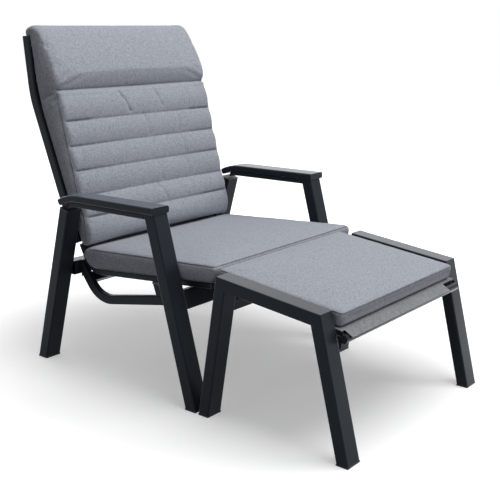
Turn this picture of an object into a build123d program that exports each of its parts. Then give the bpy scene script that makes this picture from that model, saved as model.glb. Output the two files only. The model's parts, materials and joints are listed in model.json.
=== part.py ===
from build123d import *
from math import atan, cos, degrees, radians, sin, tan
import os

os.makedirs("parts", exist_ok=True)

# A reclining garden armchair with its footstool. +Z is up, the chair faces -Y and x = 0 is its middle.
# Side-view places are given from the backrest's hinge line, rearwards and up from the floor.
# The backrest turns about that line, and its lower end pushes the seat forwards as it reclines.

# Chair frame
seat_cushion_width = 672
seat_cushion_gap = 2.5
back_cushion_gap = 5.5
leg_width = 55
leg_depth = 37
tube_wall = 1.8
tube_corner = 4
foot_height = 4
hinge_height = 395
rear_leg_lean = 14.7
front_leg_lean = 15.9
leg_spread = 630
rear_leg_top_drop = 58.3
cut_overrun = 60

# Armrests
armrest_rise = 155
armrest_width = 68
armrest_thickness = 20
armrest_edge_radius = 6
armrest_nose_radius = 5
armrest_pitch = 1.25
armrest_front_overhang = 9
armrest_side_overhang = 9.5
droop_distance = 44.3
droop_radius = 160
droop_angle = 27.5
top_rail_depth = 16
top_rail_droop_angle = 18
armrest_screw_shares = (0.215, 0.76)
screw_radius = 2.5
screw_head_radius = 5
screw_head_height = 2.5
screw_bite = 12

# Cross members between the legs
rear_member_depth = 40
rear_member_height = 43
rear_member_drop = 95.5
rear_member_forward = 9
front_member_depth = 35
front_member_height = 55
front_member_drop = 105.5

# Lower rails, the bent tubes that carry the seat
lower_rail_width = 20
lower_rail_depth = 28
lower_rail_slope_angle = 11.2
lower_rail_rise_angle = 51
lower_rail_bend = 91
lower_corner_distance = 77
lower_corner_drop = 187.3
rail_side_gap = 1.5
lower_cross_along = 75
lower_cross_height = 30
end_plate_width = 36
end_plate_height = 51
end_plate_thickness = 4
plate_bolt_spacing = 24
plate_bolt_radius = 3
plate_bolt_head_radius = 5
plate_bolt_head = 3.5

# Struts and the slides on top of them
strut_depth = 30
strut_lean = 22
strut_distance = 218.4
pad_thickness = 3
runner_least = 3
slide_gap = 0.3

# Backrest hinge
recline_angle = 35
hinge_gap = 3
bolt_radius = 5
bolt_head_radius = 9
bolt_head_height = 5
bolt_into_leg = 20
insert_wall = 2
bush_wall = 2
bush_flange = 1.3
bush_flange_radius = 11
friction_washer = 1.5
running_clearance = 0.05
fit_clearance = 0.1

# Backrest
back_tube_width = 20
back_tube_depth = 30
back_lower_lean = 22.15
back_upper_lean = 6.9
back_bend_along = 445
back_bend_radius = 285
back_upper_length = 176
back_tube_below = 15.6
back_cross_radius = 10
bottom_tube_along = 45
lumbar_tube_along = 230
top_tube_below_end = 14
cross_tube_offset = 3
back_sling_forward = 11
sling_thickness = 1.5
sling_clearance = 0.3

# Link between backrest and seat
link_radius = 45
lug_width = 22
lug_thickness = 6
lug_outer = 268
link_plate = 4
link_gap = 2
link_pin_radius = 4
link_head = 3
slot_play = 0.4

# Seat
seat_rail_width = 20
seat_rail_depth = 18
seat_slope_angle = 5.7
seat_rise_angle = 61.6
seat_bend = 61
seat_corner_distance = 46
seat_corner_drop = 101.6
seat_rise_length = 86
seat_front_overhang = 3.2
seat_cross_depth = 20
seat_cross_height = 12
seat_cross_drop = 3
seat_rear_tube_forward = 57
seat_sling_up = 6

# Cushions
soft_gap = 0.5
seat_cushion_crown = 10

# Footstool
stool_width = 700
stool_offset = -43.5
stool_leg_depth = 34
stool_distance = 88.6
stool_rise = 6.7
stool_length = 327
stool_slope_angle = 5.7
stool_rear_leg_lean = 8.5
stool_front_leg_lean = 14.7
stool_cushion_thickness = 43
stool_cushion_crown = 4
stool_cushion_side_gap = 3
stool_cushion_behind = 47
stool_cushion_ahead = 29
stool_side_tube_width = 20
stool_side_tube_depth = 15
stool_front_tube_radius = 11
stool_rear_tube_radius = 8.5
stool_member_height = 36
stool_member_depth = 30
stool_flap_drop = 17.5
stool_flap_reach = 32

# Small pieces
plug_depth = 24
plug_plate = 2.5
plug_clearance = 0.15
quarter_turn = 90

# Heights and places that follow
rear_lean = tan(radians(rear_leg_lean))
front_lean = tan(radians(front_leg_lean))
rear_foot_back = hinge_height * rear_lean
front_foot_back = rear_foot_back - leg_spread
armrest_height = hinge_height + armrest_rise
rear_leg_above_hinge = (armrest_rise - rear_leg_top_drop) / cos(radians(rear_leg_lean))
droop_start = -armrest_rise * rear_lean - droop_distance
rear_member_middle = hinge_height - rear_member_drop
front_member_middle = hinge_height - front_member_drop
lower_corner_height = hinge_height - lower_corner_drop
seat_corner_height = hinge_height - seat_corner_drop
seat_front_back = front_foot_back - seat_front_overhang
seat_rail_length = -(seat_front_back + seat_corner_distance) / cos(radians(seat_slope_angle))
strut_back = front_foot_back + strut_distance
stool_rear_back = front_foot_back - stool_distance
stool_rear_height = hinge_height + stool_rise
clear_width = seat_cushion_width + 2 * seat_cushion_gap
back_cushion_width = clear_width - 2 * back_cushion_gap
frame_inner = clear_width / 2
frame_middle = frame_inner + leg_width / 2
half_leg_depth = leg_depth / 2
armrest_middle = frame_inner + leg_width + armrest_side_overhang - armrest_width / 2
back_tube_outer = frame_inner - hinge_gap
back_tube_inner = back_tube_outer - back_tube_width
back_tube_middle = back_tube_outer - back_tube_width / 2
seat_frame_outer = back_tube_inner - rail_side_gap
seat_rail_middle = seat_frame_outer - seat_rail_width / 2
seat_rail_inner = seat_frame_outer - seat_rail_width
lower_rail_middle = seat_frame_outer - lower_rail_width / 2
lower_rail_inner = seat_frame_outer - lower_rail_width
stool_inner = stool_width / 2 - leg_width
stool_leg_middle = stool_width / 2 - leg_width / 2
half_recline = recline_angle / 2
link_travel = 2 * link_radius * sin(radians(half_recline))
sides = (("left", -1), ("right", 1))


def heading(angle):
    # A direction in the side view, from the rearward direction round to upwards.
    return Vector(cos(radians(angle)), sin(radians(angle)))


def turned(direction):
    # The same direction turned a quarter turn from rearwards towards upwards.
    return Vector(-direction.Y, direction.X)


def rear_leg_at(height):
    return Vector((hinge_height - height) * rear_lean, height)


def front_leg_at(height):
    return Vector(front_foot_back + height * front_lean, height)


# Directions and corners of the backrest, from the hinge line
hinge = Vector(0, hinge_height)
back_low = heading(quarter_turn - back_lower_lean)
back_high = heading(quarter_turn - back_upper_lean)
back_corner = hinge + back_low * back_bend_along
back_top = back_corner + back_high * back_upper_length
back_end = hinge - back_low * back_tube_below
back_path = (back_end, back_corner, back_top)

# Directions and corners of the seat rails and the lower rails
seat_back_way = heading(-seat_slope_angle)
seat_up_way = heading(seat_rise_angle)
seat_corner = Vector(-seat_corner_distance, seat_corner_height)
seat_front = seat_corner - seat_back_way * seat_rail_length
seat_end = seat_corner + seat_up_way * seat_rise_length
seat_path = (seat_front, seat_corner, seat_end)
lower_back_way = heading(-lower_rail_slope_angle)
lower_up_way = heading(lower_rail_rise_angle)
lower_corner = Vector(-lower_corner_distance, lower_corner_height)

# The footstool's side outline: rear top corner, front top corner and the ways its legs stand
stool_way = heading(stool_slope_angle)
stool_rear_corner = Vector(stool_rear_back, stool_rear_height)
stool_front_corner = stool_rear_corner - stool_way * stool_length
stool_rear_up = heading(quarter_turn + stool_rear_leg_lean)
stool_front_up = heading(quarter_turn - stool_front_leg_lean)

# The origin is under the middle of the whole set
stool_front_most = stool_front_corner.X - (stool_front_corner.Y - foot_height) * tan(radians(stool_front_leg_lean))
rear_most = back_top.X + back_tube_depth / 2 * cos(radians(back_upper_lean))
middle_y = (stool_front_most + rear_most) / 2


def side_plane(x):
    # Local x runs rearwards from the hinge line and local y runs up from the floor.
    return Plane(origin=(x, -middle_y, 0), x_dir=(0, 1, 0), z_dir=(1, 0, 0))


def place(x, spot):
    return Vector(x, spot.X - middle_y, spot.Y)


def cut_plane(spot, normal):
    return Plane(origin=place(0, spot), x_dir=(1, 0, 0), z_dir=(0, normal.X, normal.Y))


def pairs(spots):
    return [(spot.X, spot.Y) for spot in spots]


def tube_section(line, width, depth):
    # The hollow section of a rectangular tube at the start of its line.
    with BuildSketch(Plane(origin=line @ 0, x_dir=(1, 0, 0), z_dir=line % 0)) as section:
        RectangleRounded(width, depth, tube_corner)
        RectangleRounded(width - 2 * tube_wall, depth - 2 * tube_wall, tube_corner - tube_wall, mode=Mode.SUBTRACT)
    return section.sketch


def tube_along(points, bend, x, width, depth):
    # A rectangular tube along side-view points, with one bend radius.
    with BuildLine(side_plane(x)) as route:
        if len(points) > 2:
            FilletPolyline(*pairs(points), radius=bend)
        else:
            Polyline(*pairs(points))
    sweep(tube_section(route.line, width, depth), path=route.line)


def cross_tube(spot, depth, height, lean, start, end):
    # A rectangular tube across the chair, its height leaning by an angle.
    with BuildSketch(side_plane(start)) as section:
        with Locations((spot.X, spot.Y)):
            RectangleRounded(depth, height, tube_corner, rotation=lean)
            RectangleRounded(
                depth - 2 * tube_wall, height - 2 * tube_wall, tube_corner - tube_wall, rotation=lean, mode=Mode.SUBTRACT
            )
    extrude(section.sketch, amount=end - start)


def round_across(spot, radius, start, end, mode=Mode.ADD, bore=0):
    # A round bar, tube or hole across the chair.
    with BuildSketch(side_plane(min(start, end))) as section:
        with Locations((spot.X, spot.Y)):
            Circle(radius)
            if bore > 0:
                Circle(bore, mode=Mode.SUBTRACT)
    extrude(section.sketch, amount=abs(end - start), mode=mode)


def side_shape(points, start, end, mode=Mode.ADD):
    # A closed side-view outline made solid between two places across the chair.
    with BuildSketch(side_plane(min(start, end))) as outline:
        with BuildLine():
            Polyline(*points, close=True)
        make_face()
    extrude(outline.sketch, amount=abs(end - start), mode=mode)


def end_plug(end, outward, x, width, depth):
    # A plate over a tube's end and the block that grips inside it.
    end_plane = Plane(origin=place(x, end), x_dir=(1, 0, 0), z_dir=(0, outward.X, outward.Y))
    with BuildSketch(end_plane) as plate:
        RectangleRounded(width, depth, tube_corner)
    extrude(plate.sketch, amount=plug_plate)
    with BuildSketch(end_plane) as block:
        RectangleRounded(
            width - 2 * tube_wall - 2 * plug_clearance,
            depth - 2 * tube_wall - 2 * plug_clearance,
            tube_corner - tube_wall,
        )
    extrude(block.sketch, amount=-plug_depth)


def finish(piece, name):
    piece.part.label = name
    export_step(piece.part, "parts/" + name + ".step")


# Rear legs, each with the hole for the hinge's insert in its inner wall
rear_leg_way = heading(quarter_turn + rear_leg_lean)
front_leg_way = heading(quarter_turn - front_leg_lean)
rear_leg_top = hinge + rear_leg_way * rear_leg_above_hinge
for side, sign in sides:
    with BuildPart() as rear_leg:
        tube_along((rear_leg_at(-cut_overrun), rear_leg_top), 0, sign * frame_middle, leg_width, leg_depth)
        split(bisect_by=Plane.XY.offset(foot_height), keep=Keep.TOP)
        round_across(
            hinge,
            bolt_radius + insert_wall + fit_clearance,
            sign * (frame_inner - tube_wall),
            sign * (frame_inner + 2 * tube_wall),
            Mode.SUBTRACT,
        )
    finish(rear_leg, side + "_rear_leg")

with BuildPart() as leg_top_caps:
    for side, sign in sides:
        end_plug(rear_leg_top, rear_leg_way, sign * frame_middle, leg_width, leg_depth)
finish(leg_top_caps, "leg_top_caps")

# Front legs, cut under the armrest boards
board_front = front_leg_at(armrest_height).X - half_leg_depth - armrest_front_overhang
board_way = heading(-armrest_pitch)
board_up = turned(board_way)
board_front_top = Vector(board_front, armrest_height)
armrest_screw_places = [board_front + share * (droop_start - board_front) for share in armrest_screw_shares]
board_underside = cut_plane(board_front_top - board_up * armrest_thickness, board_up)
for side, sign in sides:
    with BuildPart() as front_leg:
        leg_ends = (front_leg_at(-cut_overrun), front_leg_at(armrest_height + cut_overrun))
        tube_along(leg_ends, 0, sign * frame_middle, leg_width, leg_depth)
        split(bisect_by=Plane.XY.offset(foot_height), keep=Keep.TOP)
        split(bisect_by=board_underside, keep=Keep.BOTTOM)
    finish(front_leg, side + "_front_leg")


def armrest_route(drop, angle):
    # The line of the board or of the rail below it, straight and then bent down at the rear.
    start = board_front_top - board_up * drop
    straight = (droop_start - board_front) / cos(radians(armrest_pitch))
    radius = droop_radius + armrest_thickness / 2 - drop
    run = Line(*pairs((start, start + board_way * straight)))
    JernArc(start=run @ 1, tangent=run % 1, radius=radius, arc_size=-angle)


# Top rails, from leg to leg under the boards
rail_drop = armrest_thickness + top_rail_depth / 2
rear_leg_front = hinge + turned(rear_leg_way) * half_leg_depth
front_leg_rear = front_leg_at(hinge_height) - turned(front_leg_way) * half_leg_depth
for side, sign in sides:
    with BuildPart() as top_rail:
        with BuildLine(side_plane(sign * frame_middle)) as route:
            armrest_route(rail_drop, top_rail_droop_angle)
        sweep(tube_section(route.line, leg_width, top_rail_depth), path=route.line)
        split(bisect_by=cut_plane(rear_leg_front, turned(rear_leg_way)), keep=Keep.TOP)
        split(bisect_by=cut_plane(front_leg_rear, turned(front_leg_way)), keep=Keep.BOTTOM)
        for along in armrest_screw_places:
            with Locations(place(sign * frame_middle, Vector(along, armrest_height - rail_drop))):
                Cylinder(screw_radius + plug_clearance, cut_overrun, mode=Mode.SUBTRACT)
    finish(top_rail, side + "_top_rail")


def board_underside_at(along):
    return armrest_height - armrest_thickness - (along - board_front) * tan(radians(armrest_pitch))


# Armrest boards, with blind holes for their screws
for side, sign in sides:
    with BuildPart() as armrest:
        with BuildLine(side_plane(sign * armrest_middle)) as route:
            armrest_route(armrest_thickness / 2, droop_angle)
        start_plane = Plane(origin=route.line @ 0, x_dir=(1, 0, 0), z_dir=route.line % 0)
        with BuildSketch(start_plane):
            RectangleRounded(armrest_width, armrest_thickness, armrest_edge_radius)
        sweep(path=route.line)
        fillet(armrest.faces().sort_by(Axis.Y)[-1].edges(), radius=armrest_nose_radius)
        for along in armrest_screw_places:
            with Locations(place(sign * frame_middle, Vector(along, board_underside_at(along)))):
                Cylinder(screw_radius + running_clearance, 2 * screw_bite, mode=Mode.SUBTRACT)
    finish(armrest, side + "_armrest")

# Screws that come up through the top rails into the boards
with BuildPart() as armrest_screws:
    for side, sign in sides:
        for along in armrest_screw_places:
            head_top = board_underside_at(along) - top_rail_depth / cos(radians(armrest_pitch)) - 3 * fit_clearance
            with BuildSketch(Plane(origin=place(sign * frame_middle, Vector(along, head_top)))):
                Circle(screw_head_radius)
            extrude(amount=-screw_head_height)
            with BuildSketch(Plane(origin=place(sign * frame_middle, Vector(along, head_top)))):
                Circle(screw_radius)
            extrude(amount=top_rail_depth + screw_bite - running_clearance)
finish(armrest_screws, "armrest_screws")


def foot_glide(x, foot, up, width, depth):
    # The plate that the leg stands on and the block that grips inside the leg.
    reach = depth / 2 / up.Y
    plate = ((foot.X - reach, 0), (foot.X + reach, 0), (foot.X + reach, foot_height), (foot.X - reach, foot_height))
    side_shape(plate, x - width / 2 + plug_clearance, x + width / 2 - plug_clearance)
    block_plane = Plane(origin=place(x, foot + up * (foot_height / 4)), x_dir=(1, 0, 0), z_dir=(0, up.X, up.Y))
    with BuildSketch(block_plane) as block:
        RectangleRounded(
            width - 2 * tube_wall - 2 * plug_clearance,
            depth - 2 * tube_wall - 2 * plug_clearance,
            tube_corner - tube_wall,
        )
    extrude(block.sketch, amount=plug_depth)


with BuildPart() as chair_foot_glides:
    for side, sign in sides:
        for foot, up in (
            (rear_leg_at(foot_height), rear_leg_way),
            (front_leg_at(foot_height), front_leg_way),
        ):
            foot_glide(sign * frame_middle, foot, up, leg_width, leg_depth)
finish(chair_foot_glides, "chair_foot_glides")

# Cross members between the legs
rear_member_spot = rear_leg_at(rear_member_middle) - Vector(rear_member_forward, 0)
with BuildPart() as rear_cross_member:
    cross_tube(rear_member_spot, rear_member_depth, rear_member_height, 0, -frame_inner, frame_inner)
finish(rear_cross_member, "rear_cross_member")

front_member_spot = front_leg_at(front_member_middle)
with BuildPart() as front_cross_member:
    cross_tube(
        front_member_spot, front_member_depth, front_member_height, -front_leg_lean, -frame_inner, frame_inner
    )
finish(front_cross_member, "front_cross_member")

# Lower rails, from the front member's rear face round to the plates on the rear member
member_face = rear_member_spot.X - rear_member_depth / 2
plate_face = member_face - end_plate_thickness
front_member_way = heading(-front_leg_lean)
front_member_rear = front_member_spot + front_member_way * (front_member_depth / 2)
lower_front = lower_corner - lower_back_way * (leg_spread - leg_width)
lower_end = lower_corner + lower_up_way * (rear_member_middle - lower_corner_height + cut_overrun)
for side, sign in sides:
    with BuildPart() as lower_rail:
        tube_along(
            (lower_front, lower_corner, lower_end),
            lower_rail_bend,
            sign * lower_rail_middle,
            lower_rail_width,
            lower_rail_depth,
        )
        split(bisect_by=cut_plane(front_member_rear, front_member_way), keep=Keep.TOP)
        split(bisect_by=cut_plane(Vector(plate_face, 0), Vector(1, 0)), keep=Keep.BOTTOM)
    finish(lower_rail, side + "_lower_rail")

# Plates that carry the lower rails' rear ends, and their bolts
plate_top = rear_member_middle + rear_member_height / 2
plate_bottom = plate_top - end_plate_height
bolt_column = seat_frame_outer - end_plate_width + plate_bolt_head_radius + plate_bolt_radius
plate_bolt_heights = (rear_member_middle - plate_bolt_spacing / 2, rear_member_middle + plate_bolt_spacing / 2)
with BuildPart() as rail_end_plates:
    for side, sign in sides:
        corners = (
            (plate_face, plate_bottom),
            (member_face, plate_bottom),
            (member_face, plate_top),
            (plate_face, plate_top),
        )
        side_shape(corners, sign * (seat_frame_outer - end_plate_width), sign * seat_frame_outer)
        for height in plate_bolt_heights:
            with BuildSketch(Plane.XZ.offset(middle_y - plate_face)):
                with Locations((sign * bolt_column, height)):
                    Circle(plate_bolt_radius + fit_clearance)
            extrude(amount=-end_plate_thickness, mode=Mode.SUBTRACT)
finish(rail_end_plates, "rail_end_plates")

with BuildPart() as plate_bolts:
    for side, sign in sides:
        for height in plate_bolt_heights:
            with BuildSketch(Plane.XZ.offset(middle_y - plate_face)):
                with Locations((sign * bolt_column, height)):
                    RegularPolygon(plate_bolt_head_radius, 6)
            extrude(amount=plate_bolt_head)
            with BuildSketch(Plane.XZ.offset(middle_y - plate_face)):
                with Locations((sign * bolt_column, height)):
                    Circle(plate_bolt_radius)
            extrude(amount=-end_plate_thickness)
finish(plate_bolts, "plate_bolts")

# Cross tube between the lower rails' rising ends
lower_cross_spot = lower_corner + lower_up_way * lower_cross_along
with BuildPart() as lower_cross_tube:
    cross_tube(
        lower_cross_spot,
        lower_rail_depth,
        lower_cross_height,
        lower_rail_rise_angle - quarter_turn,
        -lower_rail_inner,
        lower_rail_inner,
    )
finish(lower_cross_tube, "lower_cross_tube")


def rail_bottom_at(back):
    # Height of the seat rails' flat underside.
    drop = seat_rail_depth / 2 / cos(radians(seat_slope_angle))
    return seat_corner.Y - drop - (back - seat_corner.X) * tan(radians(seat_slope_angle))


# Struts from the lower rails up to the slides
slide_level = rail_bottom_at(strut_back) - runner_least
pad_top = slide_level - slide_gap
strut_way = heading(quarter_turn - strut_lean)
strut_across = strut_depth / 2 / cos(radians(strut_lean))
strut_head = Vector(strut_back - strut_across, pad_top - pad_thickness)
lower_top_spot = lower_corner - lower_back_way * leg_spread + turned(lower_back_way) * (lower_rail_depth / 2)
for side, sign in sides:
    with BuildPart() as strut:
        strut_ends = (strut_head - strut_way * (2 * cut_overrun), strut_head + strut_way * cut_overrun)
        tube_along(strut_ends, 0, sign * lower_rail_middle, lower_rail_width, strut_depth)
        split(bisect_by=Plane.XY.offset(strut_head.Y), keep=Keep.BOTTOM)
        split(bisect_by=cut_plane(lower_top_spot, turned(lower_back_way)), keep=Keep.TOP)
    finish(strut, side + "_strut")

with BuildPart() as slide_pads:
    for side, sign in sides:
        pad_outline = (
            (strut_back - 2 * strut_across, strut_head.Y),
            (strut_back, strut_head.Y),
            (strut_back, pad_top),
            (strut_back - 2 * strut_across, pad_top),
        )
        side_shape(pad_outline, sign * lower_rail_inner, sign * seat_frame_outer)
finish(slide_pads, "slide_pads")

with BuildPart() as slide_runners:
    for side, sign in sides:
        runner_front = strut_back - 2 * strut_across
        runner_outline = (
            (runner_front, slide_level),
            (strut_back, slide_level),
            (strut_back, rail_bottom_at(strut_back)),
            (runner_front, rail_bottom_at(runner_front)),
        )
        side_shape(runner_outline, sign * seat_rail_inner, sign * seat_frame_outer)
finish(slide_runners, "slide_runners")

# Backrest hinge: bolt and insert stay with the legs, the bush turns with the back tube
bolt_inner_end = back_tube_inner - fit_clearance
bolt_outer_end = frame_inner + bolt_into_leg
with BuildPart() as hinge_bolts:
    for side, sign in sides:
        round_across(hinge, bolt_radius, sign * bolt_inner_end, sign * bolt_outer_end)
        round_across(hinge, bolt_head_radius, sign * (bolt_inner_end - bolt_head_height), sign * bolt_inner_end)
finish(hinge_bolts, "hinge_bolts")

with BuildPart() as hinge_inserts:
    for side, sign in sides:
        round_across(
            hinge,
            bolt_radius + insert_wall,
            sign * frame_inner,
            sign * bolt_outer_end,
            bore=bolt_radius + running_clearance,
        )
finish(hinge_inserts, "hinge_inserts")

with BuildPart() as friction_washers:
    for side, sign in sides:
        round_across(
            hinge,
            bush_flange_radius,
            sign * (frame_inner - friction_washer),
            sign * frame_inner,
            bore=bolt_radius + fit_clearance,
        )
finish(friction_washers, "friction_washers")

bush_radius = bolt_radius + running_clearance + bush_wall
with BuildPart() as hinge_bushes:
    for side, sign in sides:
        round_across(hinge, bush_radius, sign * back_tube_inner, sign * back_tube_outer)
        round_across(hinge, bush_flange_radius, sign * back_tube_outer, sign * (back_tube_outer + bush_flange))
        round_across(
            hinge,
            bolt_radius + running_clearance,
            sign * (back_tube_inner - bush_flange),
            sign * (back_tube_outer + 2 * bush_flange),
            Mode.SUBTRACT,
        )
finish(hinge_bushes, "hinge_bushes")

# Backrest tubes, bored for their bushes
for side, sign in sides:
    with BuildPart() as back_tube:
        tube_along(back_path, back_bend_radius, sign * back_tube_middle, back_tube_width, back_tube_depth)
        round_across(
            hinge,
            bush_radius + running_clearance,
            sign * (back_tube_inner - tube_wall),
            sign * (back_tube_outer + tube_wall),
            Mode.SUBTRACT,
        )
    finish(back_tube, side + "_back_tube")

with BuildPart() as back_tube_plugs:
    for side, sign in sides:
        end_plug(back_top, back_high, sign * back_tube_middle, back_tube_width, back_tube_depth)
    for side, sign in sides:
        cap = Plane(origin=place(sign * back_tube_middle, back_end), x_dir=(1, 0, 0), z_dir=(0, -back_low.X, -back_low.Y))
        with BuildSketch(cap):
            RectangleRounded(back_tube_width, back_tube_depth, tube_corner)
        extrude(amount=plug_plate)
finish(back_tube_plugs, "back_tube_plugs")

# Cross tubes of the backrest
top_tube_spot = back_top - back_high * top_tube_below_end
lumbar_tube_spot = hinge + back_low * lumbar_tube_along - turned(back_low) * cross_tube_offset
bottom_tube_spot = hinge + back_low * bottom_tube_along - turned(back_low) * cross_tube_offset
for name, spot in (
    ("back_top_tube", top_tube_spot),
    ("back_lumbar_tube", lumbar_tube_spot),
    ("back_bottom_tube", bottom_tube_spot),
):
    with BuildPart() as back_cross:
        round_across(
            spot, back_cross_radius, -back_tube_inner, back_tube_inner, bore=back_cross_radius - tube_wall
        )
    finish(back_cross, name)


def offset_route(start, corner, end, amount):
    # Side-view points moved sideways by an amount, towards the front of the chair.
    first = (corner - start).normalized()
    second = (end - corner).normalized()
    bisector = (turned(first) + turned(second)).normalized()
    stretch = amount / bisector.dot(turned(first))
    return (start + turned(first) * amount, corner + bisector * stretch, end + turned(second) * amount)


# Back sling, stretched between the back tubes
sling_low = hinge + back_low * (bottom_tube_along - back_cross_radius)
sling_high = back_top - back_high * (top_tube_below_end + back_cross_radius)
with BuildPart() as back_sling:
    with BuildSketch(side_plane(-back_tube_inner + sling_clearance)):
        with BuildLine():
            FilletPolyline(
                *offset_route(sling_low, back_corner, sling_high, back_sling_forward),
                radius=back_bend_radius + back_sling_forward,
            )
        trace(line_width=sling_thickness)
    extrude(amount=2 * (back_tube_inner - sling_clearance))
finish(back_sling, "back_sling")

# Link: lugs under the back's bottom tube, pins in them, and the slotted plates of the seat
link_spot = hinge + heading(half_recline - quarter_turn) * link_radius
with BuildPart() as link_lugs:
    for side, sign in sides:
        with BuildSketch(side_plane(min(sign * lug_outer, sign * (lug_outer - lug_thickness)))):
            with BuildLine():
                Line(bottom_tube_spot, link_spot)
            trace(line_width=lug_width)
            with Locations((link_spot.X, link_spot.Y), (bottom_tube_spot.X, bottom_tube_spot.Y)):
                Circle(lug_width / 2)
            with Locations((link_spot.X, link_spot.Y)):
                Circle(link_pin_radius + running_clearance, mode=Mode.SUBTRACT)
            with Locations((bottom_tube_spot.X, bottom_tube_spot.Y)):
                Circle(back_cross_radius + running_clearance, mode=Mode.SUBTRACT)
        extrude(amount=lug_thickness)
finish(link_lugs, "link_lugs")

plate_inner = lug_outer + link_gap
plate_outer = plate_inner + link_plate
with BuildPart() as link_pins:
    for side, sign in sides:
        pin_start = lug_outer - lug_thickness - fit_clearance
        pin_end = plate_outer + 2 * fit_clearance
        round_across(link_spot, link_pin_radius, sign * pin_start, sign * pin_end)
        round_across(link_spot, 2 * link_pin_radius, sign * (pin_start - link_head), sign * pin_start)
        round_across(link_spot, 2 * link_pin_radius, sign * pin_end, sign * (pin_end + link_head))
finish(link_pins, "link_pins")

# Seat rails and their plugs
for side, sign in sides:
    with BuildPart() as seat_rail:
        tube_along(seat_path, seat_bend, sign * seat_rail_middle, seat_rail_width, seat_rail_depth)
    finish(seat_rail, side + "_seat_rail")

with BuildPart() as seat_rail_plugs:
    for side, sign in sides:
        end_plug(seat_end, seat_up_way, sign * seat_rail_middle, seat_rail_width, seat_rail_depth)
        end_plug(seat_front, seat_back_way * -1, sign * seat_rail_middle, seat_rail_width, seat_rail_depth)
finish(seat_rail_plugs, "seat_rail_plugs")

# Seat cross tubes, low in the rails so that the sling clears them
seat_down = turned(seat_back_way) * -1
seat_front_spot = seat_front + seat_back_way * seat_cross_depth + seat_down * seat_cross_drop
seat_rear_spot = seat_corner - seat_back_way * seat_rear_tube_forward + seat_down * seat_cross_drop
for name, spot in (("seat_front_tube", seat_front_spot), ("seat_rear_tube", seat_rear_spot)):
    with BuildPart() as seat_cross:
        cross_tube(spot, seat_cross_depth, seat_cross_height, -seat_slope_angle, -seat_rail_inner, seat_rail_inner)
    finish(seat_cross, name)

# Seat sling, between the seat rails
with BuildPart() as seat_sling:
    with BuildSketch(side_plane(-seat_rail_inner + sling_clearance)):
        with BuildLine():
            FilletPolyline(
                *offset_route(seat_front, seat_corner, seat_end, seat_sling_up), radius=seat_bend - seat_sling_up
            )
        trace(line_width=sling_thickness)
    extrude(amount=2 * (seat_rail_inner - sling_clearance))
finish(seat_sling, "seat_sling")

# Slotted plates from the seat's rear tube to the link pins
plate_start = seat_corner - seat_back_way * (seat_rear_tube_forward - seat_cross_depth / 2)
plate_path = offset_route(plate_start, seat_corner, seat_end, -seat_cross_height / 2)
link_foot_along = (link_spot - plate_path[1]).dot(seat_up_way)
link_foot = plate_path[1] + seat_up_way * link_foot_along
slot_low = Vector(link_spot.X, hinge_height - link_radius)
with BuildPart() as link_plates:
    for side, sign in sides:
        with BuildSketch(side_plane(min(sign * plate_inner, sign * plate_outer))):
            with BuildLine():
                FilletPolyline(plate_path[0], plate_path[1], link_foot, radius=seat_bend + seat_cross_height / 2)
            trace(line_width=seat_cross_height)
            with BuildLine():
                Line(link_foot, link_spot)
            trace(line_width=lug_width)
            with Locations((link_spot.X, link_spot.Y)):
                Circle(lug_width / 2)
            with Locations((link_spot.X, (link_spot.Y + slot_low.Y) / 2)):
                SlotCenterToCenter(
                    link_spot.Y - slot_low.Y + slot_play,
                    2 * (link_pin_radius + slot_play),
                    rotation=quarter_turn,
                    mode=Mode.SUBTRACT,
                )
        extrude(amount=link_plate)
finish(link_plates, "link_plates")

# Cushion outlines are drawn at shares of the half width and lofted from one side to the other
section_shares = (-1, -0.965, -0.86, -0.3, 0.3, 0.86, 0.965, 1)
fullness_shares = (0.7, 0.9, 1, 1.04, 1.04, 1, 0.9, 0.7)
squeeze_shares = (0.3, 0.05, 0, 0, 0, 0, 0.05, 0.3)
crown_shares = (0, 0, 0.4, 1, 1, 0.4, 0, 0)
end_squeeze_share = 0.06

# Back cushion: distances up the backrest of its sewn channels, and how far each stands off the tubes
channel_alongs = (-36, 43, 109, 184, 258, 333, 425)
channel_depths = (26, 53, 50, 63, 69, 81, 94)
channel_bulge = 9
back_face = back_tube_depth / 2 + soft_gap
bend_start = 400
fold_along = 437
fold_forward = 3.2
fold_gap = 3


def back_spot(along, forward):
    return hinge + back_low * along + turned(back_low) * (back_face + forward)


with BuildPart() as back_cushion:
    for share, fullness in zip(section_shares, fullness_shares):
        fronts = [back_spot(along, depth * fullness) for along, depth in zip(channel_alongs, channel_depths)]
        with BuildSketch(side_plane(share * back_cushion_width / 2)):
            with BuildLine():
                Line(back_spot(fold_along, fold_forward), back_spot(bend_start, 0))
                Line(back_spot(bend_start, 0), back_spot(channel_alongs[0], 0))
                Line(back_spot(channel_alongs[0], 0), fronts[0])
                for low, high in zip(fronts[:-1], fronts[1:]):
                    SagittaArc(low, high, channel_bulge * fullness)
                Line(fronts[-1], back_spot(fold_along, fold_forward))
            make_face()
    loft(ruled=True)
finish(back_cushion, "back_cushion")

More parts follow.
